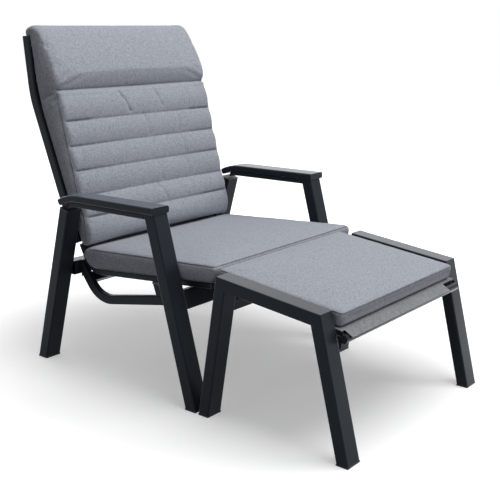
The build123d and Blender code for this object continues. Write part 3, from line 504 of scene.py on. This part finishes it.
def onSurface(piece, points, lift):
    # Moves a line of points to the nearest place on a piece, a little proud of it
    tree = BVHTree.FromObject(piece, bpy.context.evaluated_depsgraph_get())
    laid = []
    for point in points:
        spot, normal = tree.find_nearest(point)[:2]
        laid.append(spot + normal * lift)
    return laid


def weltAlong(name, piece, points, radius, body, closed=False):
    # A corded edge: a thin covered cord sewn between two panels
    proudShare, smoothings = 0.25, 2
    laid = onSurface(piece, points, radius * proudShare)
    for _ in range(smoothings):
        if closed:
            laid = [(laid[i - 1] + laid[i] * 2 + laid[(i + 1) % len(laid)]) / 4 for i in range(len(laid))]
        else:
            inner = [(laid[i - 1] + laid[i] * 2 + laid[i + 1]) / 4 for i in range(1, len(laid) - 1)]
            laid = [laid[0]] + inner + [laid[-1]]
    curve = bpy.data.curves.new(name, "CURVE")
    curve.dimensions = "3D"
    curve.bevel_depth = radius
    curve.bevel_resolution = 2
    curve.use_fill_caps = not closed
    cord = curve.splines.new("POLY")
    cord.points.add(len(laid) - 1)
    for i, point in enumerate(laid):
        cord.points[i].co = (*point, 1)
    cord.use_cyclic_u = closed
    welt = bpy.data.objects.new(name, curve)
    bpy.context.scene.collection.objects.link(welt)
    selectOnly(welt)
    bpy.ops.object.convert(target="MESH")
    welt = bpy.context.view_layer.objects.active
    bpy.ops.object.shade_smooth()
    dress(welt, weltCloth, body)


def acrossLine(y, z, low, high, count=60):
    return [Vector((low + (high - low) * i / (count - 1), y, z)) for i in range(count)]


# Back cushion: sewn across in channels, the last of which lies hidden under the pillow's fold
backCushion = {
    "half": 0.329, "middleX": 0, "stations": 90, "sideRound": 0.013, "sideBulge": 0.004, "crown": 0.003,
    "alongs": (-0.036, 0.043, 0.109, 0.184, 0.258, 0.333, 0.408, 0.4255),
    "depths": (0.026, 0.0515, 0.0505, 0.0625, 0.0695, 0.0805, 0.0905, 0.0925),
    "rises": (0.011, 0.009, 0.009, 0.009, 0.009, 0.0085, 0.0015), "edgeTaper": 0.55,
    "behind": ((0.437, 0.0032), (0.40, 0.0003), (0.2, 0.0003), (-0.030, 0.0003)), "lowRear": (-0.001, 0.012),
    "voxel": 0.0055, "pressure": 3.0, "bending": 0.4, "cap": 0.006, "restsTowards": tuple(-turned(backUp)),
}


def backOutline(x, shrink):
    values = backCushion
    crown = values["crown"] * (1 - (x / values["half"]) ** 2)
    drop = edgeDrop(x, values["half"], values["sideRound"])
    fronts = [backSpot(a, d + crown - drop) for a, d in zip(values["alongs"], values["depths"])]
    taper = 1 - values["edgeTaper"] * drop / values["sideRound"]
    points = []
    for low, high, rise in zip(fronts[:-1], fronts[1:], values["rises"]):
        points += arcBetween(low, high, rise * taper, 12)
    points.append(fronts[-1])
    behind = [backSpot(*place) for place in values["behind"]]
    for a, b in zip([fronts[-1]] + behind[:-1], behind):
        points += [a + (b - a) * (i / 10) for i in range(1, 11)]
    lowBy, lowForward = values["lowRear"]
    points.append(backSpot(values["alongs"][0] + lowBy, lowForward))
    return shrinkRing(points, shrink)


backPiece = cushionShell("backCushion", backOutline, backCushion)
seamLift, seamInset = 0.002, 0.004
channelLines = []
for along, depth in zip(backCushion["alongs"][1:7], backCushion["depths"][1:7]):
    spot = backSpot(along, depth + seamLift)
    half = backCushion["half"]
    channelLines.append(acrossLine(spot.y, spot.z, -half + seamInset, half - seamInset))
puffUp(backPiece, backCushion, channelLines)
channelSewing = {"depth": 0.0042, "paintedShade": 1.0, "pucker": 0.0015}
hiddenSewing = {"depth": 0.0004, "paintedShade": 0.0, "pucker": 0.0006}
sewing = []
for i, channel in enumerate(channelLines):
    looksSewn = hiddenSewing if channel is channelLines[-1] else channelSewing
    sewing.append({"points": channel, "reach": 0.003, "seed": i * 7.3, **looksSewn})


def backCrease(x1, along1, x2, along2, depth, reach):
    # A fold in the cover from one place on the back to another, a little wavy
    lift, waviness, darkest, darkening = 0.008, 0.002, 0.7, 120
    points = []
    for i in range(9):
        share = i / 8
        along = along1 + (along2 - along1) * share
        place = np.interp(along, backCushion["alongs"], backCushion["depths"])
        spot = backSpot(along, float(place) + lift)
        points.append(Vector((x1 + (x2 - x1) * share + waviness * math.sin(5 * share), spot.y, spot.z)))
    # the crease is also darkened in colour: painted shade, more for deeper creases, up to a limit
    return {"points": points, "reach": reach, "depth": depth, "paintedShade": min(darkest, depth * darkening)}


backCreases = (
    (-0.092, 0.412, -0.055, 0.345, 0.0055, 0.005),
    (0.066, 0.412, 0.088, 0.355, 0.0046, 0.005),
    (0.215, 0.400, 0.222, 0.350, 0.0016, 0.006),
    (0.000, 0.325, 0.012, 0.268, 0.0020, 0.008),
    (0.150, 0.325, 0.152, 0.268, 0.0020, 0.008),
    (0.020, 0.250, 0.002, 0.192, 0.0022, 0.008),
    (0.150, 0.250, 0.160, 0.192, 0.0018, 0.008),
    (-0.110, 0.250, -0.118, 0.200, 0.0010, 0.008),
    (0.018, 0.175, 0.030, 0.118, 0.0024, 0.008),
    (0.148, 0.175, 0.160, 0.118, 0.0020, 0.008),
    (0.000, 0.100, 0.030, 0.050, 0.0026, 0.008),
    (0.150, 0.100, 0.156, 0.050, 0.0022, 0.008),
    (0.250, 0.100, 0.235, 0.050, 0.0016, 0.008),
    (0.030, 0.036, 0.020, -0.020, 0.0020, 0.009),
    (-0.150, 0.036, -0.140, -0.020, 0.0016, 0.009),
)
for crease in backCreases:
    sewing.append(backCrease(*crease))
sewLines(backPiece, sewing)
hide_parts("back_cushion")
dress(backPiece, cushionCloth, "backrest")
backWelt = {"low": -0.028, "high": 0.424, "count": 150, "sunk": 0.004, "inset": 0.001, "radius": 0.0017}
for side, sign in (("Left", -1), ("Right", 1)):
    edge = []
    for i in range(backWelt["count"]):
        along = backWelt["low"] + (backWelt["high"] - backWelt["low"]) * i / (backWelt["count"] - 1)
        depth = float(np.interp(along, backCushion["alongs"], backCushion["depths"]))
        spot = backSpot(along, depth - backWelt["sunk"])
        edge.append(Vector((sign * (backCushion["half"] - backWelt["inset"]), spot.y, spot.z)))
    weltAlong("backWelt" + side, backPiece, edge, backWelt["radius"], "backrest")

# Headrest pillow over the end of the back. Its front places are along the back and forward of its tubes
headrest = {
    "half": 0.3315, "middleX": 0, "stations": 80, "sideRound": 0.016, "sideBulge": 0.003, "crown": 0.004,
    "fold": (0.4295, 0.0835), "underLip": (0.4340, 0.1065), "lip": (0.4680, 0.1075),
    "topRise": 0.019, "topForward": 0.024, "topBack": 0.001, "frontBulge": 0.0068, "topBulge": 0.010,
    "clearance": 0.0038, "rearDepth": 0.010, "sewnFace": (0.0160, 0.045),
    "underside": ((0.4280, 0.0040), (0.4180, 0.0100), (0.4180, 0.0760)),
    "voxel": 0.006, "pressure": 3.0, "bending": 1.0, "cap": 0.004, "softening": 16,
    "restsTowards": tuple(-turned(topUp)),
}
lipFront = backTop + turned(topUp) * backTubeHalf + topUp * headrest["clearance"]
lipRear = backTop - turned(topUp) * headrest["rearDepth"] + topUp * headrest["clearance"]


def headrestOutline(x, shrink):
    values = headrest
    drop = edgeDrop(x, values["half"], values["sideRound"])
    crown = values["crown"] * (1 - (x / values["half"]) ** 2)
    frontFold = backSpot(values["fold"][0], values["fold"][1] - drop * 0.3)
    underLip = backSpot(values["underLip"][0], values["underLip"][1] + crown - drop)
    lip = backSpot(values["lip"][0], values["lip"][1] + crown - drop * 0.8)
    topFront = (lipFront + topUp * (values["topRise"] - drop * 0.6)
                + turned(topUp) * (values["topForward"] + crown - drop * 0.7))
    topRear = lipRear + topUp * (values["topRise"] - drop * 0.5) - turned(topUp) * values["topBack"]
    points = [bentBetween(frontFold, underLip, lip, i / 10) for i in range(10)]
    points += arcBetween(lip, topFront, values["frontBulge"], 22)
    points += arcBetween(topFront, topRear, values["topBulge"], 12)
    # the underside reaches a little into the back cushion, to which it is sewn
    forward, up = values["sewnFace"]
    chain = [topRear, lipRear, lipFront, backCorner + turned(topUp) * forward + topUp * up]
    chain += [backSpot(*place) for place in values["underside"]] + [frontFold]
    for a, b in zip(chain[:-1], chain[1:]):
        points += [a + (b - a) * (i / 8) for i in range(8)]
    return shrinkRing(points, shrink)


headPiece = cushionShell("headrestPillow", headrestOutline, headrest)
foldSeam = {"along": 0.4305, "forward": 0.0850, "half": 0.326}
foldSpot = backSpot(foldSeam["along"], foldSeam["forward"])
foldLine = acrossLine(foldSpot.y, foldSpot.z, -foldSeam["half"], foldSeam["half"])
puffUp(headPiece, headrest, [foldLine])
sewLines(headPiece, [{"points": foldLine, "reach": 0.004, "depth": 0.001, "paintedShade": 0.8, "pucker": 0.0012,
                      "seed": 3.1}])
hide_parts("headrest_pillow")
dress(headPiece, cushionCloth, "backrest")


def slabSpot(values, along, up):
    # A place along a flat cushion's underside and square to it
    return values["origin"] + values["way"] * along + turned(values["way"]) * up


def slabOutline(x, shrink, values):
    # Underside, rear face, crowned top and nose of a flat cushion
    drop = edgeDrop(x, values["half"], values["sideRound"])
    crown = values["crown"] * (1 - (abs(x) / values["half"]) ** 3)
    faceDrop, endDrop = drop * 0.8, drop * 0.6
    lifted = []
    for along, up, kind in values["corners"]:
        up = up + faceDrop if kind == "low" else up - faceDrop if kind == "high" else up
        along = along + endDrop if along < values["middle"] else along - endDrop
        lifted.append(slabSpot(values, along, up))
    points = []
    for i, start in enumerate(lifted):
        end = lifted[(i + 1) % len(lifted)]
        rise = values["rises"][i] + (crown if i == values["topSide"] else 0)
        points += arcBetween(start, end, -rise, values["steps"][i])
    return shrinkRing(points, shrink)


def ringLine(values, front, rear, inset=0.002):
    # A seam all round a slab cushion, closed at its first point
    half = values["half"] - inset
    alongCount, acrossCount = 60, 70
    frontSpot, rearSpot = slabSpot(values, *front), slabSpot(values, *rear)
    line = []
    for i in range(alongCount):
        share = i / (alongCount - 1)
        line.append(Vector((-half, *(rearSpot + (frontSpot - rearSpot) * share).yz)))
    for i in range(1, acrossCount):
        line.append(Vector((-half + 2 * half * i / acrossCount, *frontSpot.yz)))
    for i in range(alongCount):
        share = i / (alongCount - 1)
        line.append(Vector((half, *(frontSpot + (rearSpot - frontSpot) * share).yz)))
    for i in range(1, acrossCount):
        line.append(Vector((half - 2 * half * i / acrossCount, *rearSpot.yz)))
    line = [p + Vector((values["middleX"], 0, 0)) for p in line]
    return line + line[:1]


# Seat cushion: its corners are along the underside, up from it, and of the lower face, the sides or the upper face
seatCushion = {
    "half": 0.331, "middleX": 0, "stations": 80, "sideRound": 0.010, "sideBulge": 0.004, "crown": 0.009,
    "voxel": 0.006, "pressure": 3.5, "bending": 1.0, "cap": 0.006, "restsTowards": tuple(-turned(seatBack)),
    "middle": -0.25, "topSide": 4, "way": seatBack, "origin": seatCorner + turned(seatBack) * 0.0097,
    "corners": ((-0.494, 0.0, "low"), (-0.041, 0.0, "low"), (0.006, 0.032, "side"), (0.0115, 0.047, "side"),
                (-0.015, 0.066, "high"), (-0.514, 0.053, "high"), (-0.525, 0.040, "side"), (-0.519, 0.018, "side")),
    "rises": (0, 0.009, 0, 0.004, 0.0, 0.002, 0.001, 0.004), "steps": (40, 14, 4, 8, 46, 6, 5, 8),
    "topSeam": ((-0.520, 0.049), (-0.014, 0.0635)), "lowSeam": ((-0.512, 0.006), (-0.040, 0.003)), "welt": 0.0019,
}
seatPiece = cushionShell("seatCushion", lambda x, shrink: slabOutline(x, shrink, seatCushion), seatCushion)
seatTopSeam = ringLine(seatCushion, *seatCushion["topSeam"])
seatLowSeam = ringLine(seatCushion, *seatCushion["lowSeam"])
puffUp(seatPiece, seatCushion, [seatTopSeam, seatLowSeam])
sewLines(seatPiece, [{"points": seatTopSeam, "reach": 0.003, "depth": 0.0012, "pucker": 0.0010, "seed": 11.0}])
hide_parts("seat_cushion")
dress(seatPiece, cushionCloth, "seat")
weltAlong("seatWeltTop", seatPiece, seatTopSeam[:-1], seatCushion["welt"], "seat", closed=True)
weltAlong("seatWeltLow", seatPiece, seatLowSeam[:-1], seatCushion["welt"], "seat", closed=True)

stoolCushion = {
    "half": 0.2905, "middleX": stoolX, "stations": 70, "sideRound": 0.009, "sideBulge": 0.002, "crown": 0.004,
    "voxel": 0.006, "pressure": 3.5, "bending": 1.0, "cap": 0.004, "restsTowards": tuple(-turned(stoolBack)),
    "middle": -0.15, "topSide": 4, "way": stoolBack, "origin": stoolRear - turned(stoolBack) * 0.0428,
    "corners": ((-0.343, 0.0, "low"), (0.034, 0.0, "low"), (0.0455, 0.012, "side"), (0.0455, 0.030, "side"),
                (0.036, 0.0425, "high"), (-0.345, 0.0425, "high"), (-0.3545, 0.030, "side"),
                (-0.3545, 0.012, "side")),
    "rises": (0, 0.002, 0.0005, 0.002, 0.0, 0.002, 0.0005, 0.002), "steps": (40, 6, 5, 6, 46, 6, 5, 6),
    "topSeam": ((-0.3525, 0.0385), (0.0435, 0.0385)), "welt": 0.0017,
}
stoolPiece = cushionShell("stoolCushion", lambda x, shrink: slabOutline(x, shrink, stoolCushion), stoolCushion)
stoolTopSeam = ringLine(stoolCushion, *stoolCushion["topSeam"])
puffUp(stoolPiece, stoolCushion, [stoolTopSeam])
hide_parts("stool_cushion")
dress(stoolPiece, cushionCloth, "footstool")
weltAlong("stoolWeltTop", stoolPiece, stoolTopSeam[:-1], stoolCushion["welt"], "footstool", closed=True)
report("cushions ready")


def awayFromCushion(path, i):
    # Square to the path, away from the cushion
    a, b = path[max(i - 1, 0)], path[min(i + 1, len(path) - 1)]
    return -turned((b - a).normalized())


def slingSheet(name, path, values, material):
    # A stretched sheet that dips a little between its side tubes
    across, thickness = 24, 0.0012
    half, flap = values["half"], values.get("flap")
    points, faces = [], []
    for r, spot in enumerate(path):
        inFlap = flap is not None and r >= len(path) - flap["rows"]
        rowHalf = flap["half"] if inFlap else half
        rowMiddle = values["middleX"] + (flap["shift"] if inFlap else 0)
        away = awayFromCushion(path, r)
        for i in range(across + 1):
            share = -1 + 2 * i / across
            dip = away * values["sag"] * (1 - share * share)
            points.append(Vector((rowMiddle + rowHalf * share, spot.y, spot.z)) + dip)
    for r in range(len(path) - 1):
        for i in range(across):
            a = r * (across + 1) + i
            faces.append((a, a + 1, a + across + 2, a + across + 1))
    piece = newPiece(name, points, faces)
    thick = piece.modifiers.new("cloth", "SOLIDIFY")
    thick.thickness = thickness
    thick.offset = 0
    applyAll(piece)
    makeNormalsOutward(piece)
    selectOnly(piece)
    bpy.ops.object.shade_smooth_by_angle(angle=math.radians(40))
    length = sum((b - a).length for a, b in zip(path[:-1], path[1:]))
    dress(piece, material, values["body"])
    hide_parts(values["node"])
    report(f"{name} flat {2 * half:.3f} x {length:.3f} m")


def roundedPath(points, radius, steps):
    # A path through three side-view points with its corner rounded
    a, b, c = points
    first, second = (b - a).normalized(), (c - b).normalized()
    reach = radius * math.tan(first.angle(second) / 2)
    start, end = b - first * reach, b + second * reach
    path = [a + (start - a) * (i / steps) for i in range(steps)]
    path += [bentBetween(start, b, end, i / steps) for i in range(steps + 1)]
    path += [end + (c - end) * (i / steps) for i in range(1, steps + 1)]
    return path


def shifted(points, amount):
    # The same bent path, moved sideways in the side view
    a, b, c = points
    first, second = (b - a).normalized(), (c - b).normalized()
    bisector = (turned(first) + turned(second)).normalized()
    stretch = amount / bisector.dot(turned(first))
    return (a + turned(first) * amount, b + bisector * stretch, c + turned(second) * amount)


backSling = {
    "half": 0.3152, "middleX": 0, "sag": 0.004, "bend": 0.296, "steps": 14, "proud": 0.011,
    "fromHinge": 0.035, "fromTop": 0.024, "body": "backrest", "slot": "sling_fabric", "node": "back_sling",
    "restsOn": ["left_back_tube", "right_back_tube"],
}
backSlingEnds = (hinge + backUp * backSling["fromHinge"], backCorner, backTop - topUp * backSling["fromTop"])
backSlingPath = roundedPath(shifted(backSlingEnds, backSling["proud"]), backSling["bend"], backSling["steps"])
slingSheet("backSling", backSlingPath, backSling, slingCloth)

seatSling = {
    "half": 0.2937, "middleX": 0, "sag": 0.0, "bend": 0.055, "steps": 14, "proud": 0.006,
    "frontReach": 0.486, "endReach": 0.086, "body": "seat", "slot": "sling_fabric", "node": "seat_sling",
    "restsOn": ["left_seat_rail", "right_seat_rail"],
}
seatEnd = seatCorner + heading(seatEndRise) * seatSling["endReach"]
seatSlingEnds = (seatCorner - seatBack * seatSling["frontReach"], seatCorner, seatEnd)
seatSlingPath = roundedPath(shifted(seatSlingEnds, seatSling["proud"]), seatSling["bend"], seatSling["steps"])
slingSheet("seatSling", seatSlingPath, seatSling, slingCloth)

# The footstool's sling ends in a narrower flap that hangs over the front tube
stoolSling = {
    "half": 0.2947, "middleX": stoolX, "sag": 0.0, "bend": 0.02, "steps": 10, "underCushion": 0.0451,
    "raised": 0.0009, "frontReach": 0.356, "rearReach": 0.047, "flapHang": (0, -0.0275, -0.0150),
    "flap": {"rows": 12, "half": 0.254, "shift": -0.027}, "body": "footstool", "slot": "stool_sling_fabric",
    "node": "stool_sling", "restsOn": ["stool_rear_tube", "stool_front_tube"],
}
stoolDown = -turned(stoolBack)
slingShelf = stoolRear + stoolDown * stoolSling["underCushion"] - stoolDown * stoolSling["raised"]
flapTop = slingShelf - stoolBack * stoolSling["frontReach"]
stoolSlingEnds = (slingShelf + stoolBack * stoolSling["rearReach"], flapTop, flapTop + Vector(stoolSling["flapHang"]))
stoolSlingPath = roundedPath(stoolSlingEnds, stoolSling["bend"], stoolSling["steps"])
slingSheet("stoolSling", stoolSlingPath, stoolSling, stoolSlingCloth)
report("slings ready")

studio = {
    "floor": (0.28, 0.28, 0.285), "seenFloor": (0.80, 0.80, 0.805), "floorSize": 24, "floorBelow": 0.0004,
    "floorRoughness": 0.9, "floorSpecular": 0.1, "clearFrom": 0.45, "clearTo": 1.5, "leastGlow": 0.34,
    "world": 0.2, "aim": (0, 0, 0.4),
    "lamps": (
        ("topLamp", (0.25, -0.95, 3.3), 2.6, 84),
        ("frontLamp", (1.8, -3.2, 2.0), 1.8, 17),
        ("backLamp", (0.5, 3.0, 2.4), 2.4, 14),
    ),
}


def seenDirectly(tree):
    # One for rays from the camera, in mirrors and through glass, which see a plain white studio
    path = addNode(tree, "ShaderNodeLightPath", (-900, 300))
    seen = addNode(tree, "ShaderNodeMath", (-700, 300), operation="MAXIMUM")
    tree.links.new(path.outputs["Is Camera Ray"], seen.inputs[0])
    tree.links.new(path.outputs["Is Transmission Ray"], seen.inputs[1])
    either = addNode(tree, "ShaderNodeMath", (-500, 300), operation="MAXIMUM")
    tree.links.new(seen.outputs[0], either.inputs[0])
    tree.links.new(path.outputs["Is Glossy Ray"], either.inputs[1])
    return either.outputs[0]


world = bpy.data.worlds.new("studioWorld")
bpy.context.scene.world = world
world.use_nodes = True
worldTree = world.node_tree
background = worldTree.nodes["Background"]
background.inputs["Color"].default_value = (1, 1, 1, 1)
level = addNode(worldTree, "ShaderNodeMapRange", (-200, 300), clamp=True, in_To_Min=studio["world"], in_To_Max=1.0)
worldTree.links.new(seenDirectly(worldTree), level.inputs["Value"])
worldTree.links.new(level.outputs["Result"], background.inputs["Strength"])


def floorLook():
    # The floor looks pale and keeps the shadow near the chair; further out it clears to white
    material, tree, shader = newMaterial("paleFloor")
    link = tree.links.new
    seen = seenDirectly(tree)
    colour = addNode(tree, "ShaderNodeMix", (-250, 100), data_type="RGBA", in_A=(*studio["floor"], 1),
                     in_B=(*studio["seenFloor"], 1))
    link(seen, colour.inputs["Factor"])
    link(colour.outputs["Result"], shader.inputs["Base Color"])
    place = addNode(tree, "ShaderNodeTexCoord", (-1100, -300))
    reach = addNode(tree, "ShaderNodeVectorMath", (-900, -300), operation="LENGTH")
    link(place.outputs["Object"], reach.inputs[0])
    clearing = addNode(tree, "ShaderNodeMapRange", (-700, -300), clamp=True, interpolation_type="SMOOTHSTEP",
                       in_From_Min=studio["clearFrom"], in_From_Max=studio["clearTo"], in_To_Min=studio["leastGlow"])
    link(reach.outputs["Value"], clearing.inputs["Value"])
    glow = addNode(tree, "ShaderNodeMath", (-450, -200), operation="MULTIPLY")
    link(clearing.outputs["Result"], glow.inputs[0])
    link(seen, glow.inputs[1])
    link(glow.outputs[0], shader.inputs["Emission Strength"])
    setInputs(shader, {"Emission Color": (1, 1, 1, 1), "Roughness": studio["floorRoughness"],
                       "Specular IOR Level": studio["floorSpecular"]})
    return material


bpy.ops.object.select_all(action="DESELECT")
bpy.ops.mesh.primitive_plane_add(size=studio["floorSize"], location=(0, 0, -studio["floorBelow"]))
floor = bpy.context.object
floor.name = "floor"
floor.data.materials.append(floorLook())

for name, place, size, power in studio["lamps"]:
    lamp = bpy.data.lights.new(name, "AREA")
    lamp.size = size
    lamp.energy = power
    lampObject = bpy.data.objects.new(name, lamp)
    bpy.context.scene.collection.objects.link(lampObject)
    lampObject.location = place
    lampObject.rotation_euler = (Vector(studio["aim"]) - Vector(place)).to_track_quat("-Z", "Y").to_euler()

cameraView = {"place": (-2.08115, -1.65519, 1.05267), "azimuth": -51.4725, "elevation": 14.5629, "roll": 0.7629,
              "lens": 65.08, "sensor": 36}


def placeCamera(view):
    azimuth, elevation, roll = (math.radians(view[k]) for k in ("azimuth", "elevation", "roll"))
    back = Vector((math.sin(azimuth) * math.cos(elevation), -math.cos(azimuth) * math.cos(elevation),
                   math.sin(elevation)))
    right = (-back).cross(Vector((0, 0, 1))).normalized()
    up = right.cross(-back)
    rolledRight = right * math.cos(roll) + up * math.sin(roll)
    rolledUp = up * math.cos(roll) - right * math.sin(roll)
    data = bpy.data.cameras.new("photoCamera")
    data.lens = view["lens"]
    data.sensor_width = view["sensor"]
    data.sensor_fit = "HORIZONTAL"
    camera = bpy.data.objects.new("photoCamera", data)
    bpy.context.scene.collection.objects.link(camera)
    axes = Matrix((rolledRight, rolledUp, back)).transposed().to_4x4()
    camera.matrix_world = Matrix.Translation(view["place"]) @ axes
    bpy.context.scene.camera = camera


placeCamera(cameraView)
bpy.context.scene.view_settings.view_transform = "Standard"
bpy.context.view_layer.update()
report("scene ready")
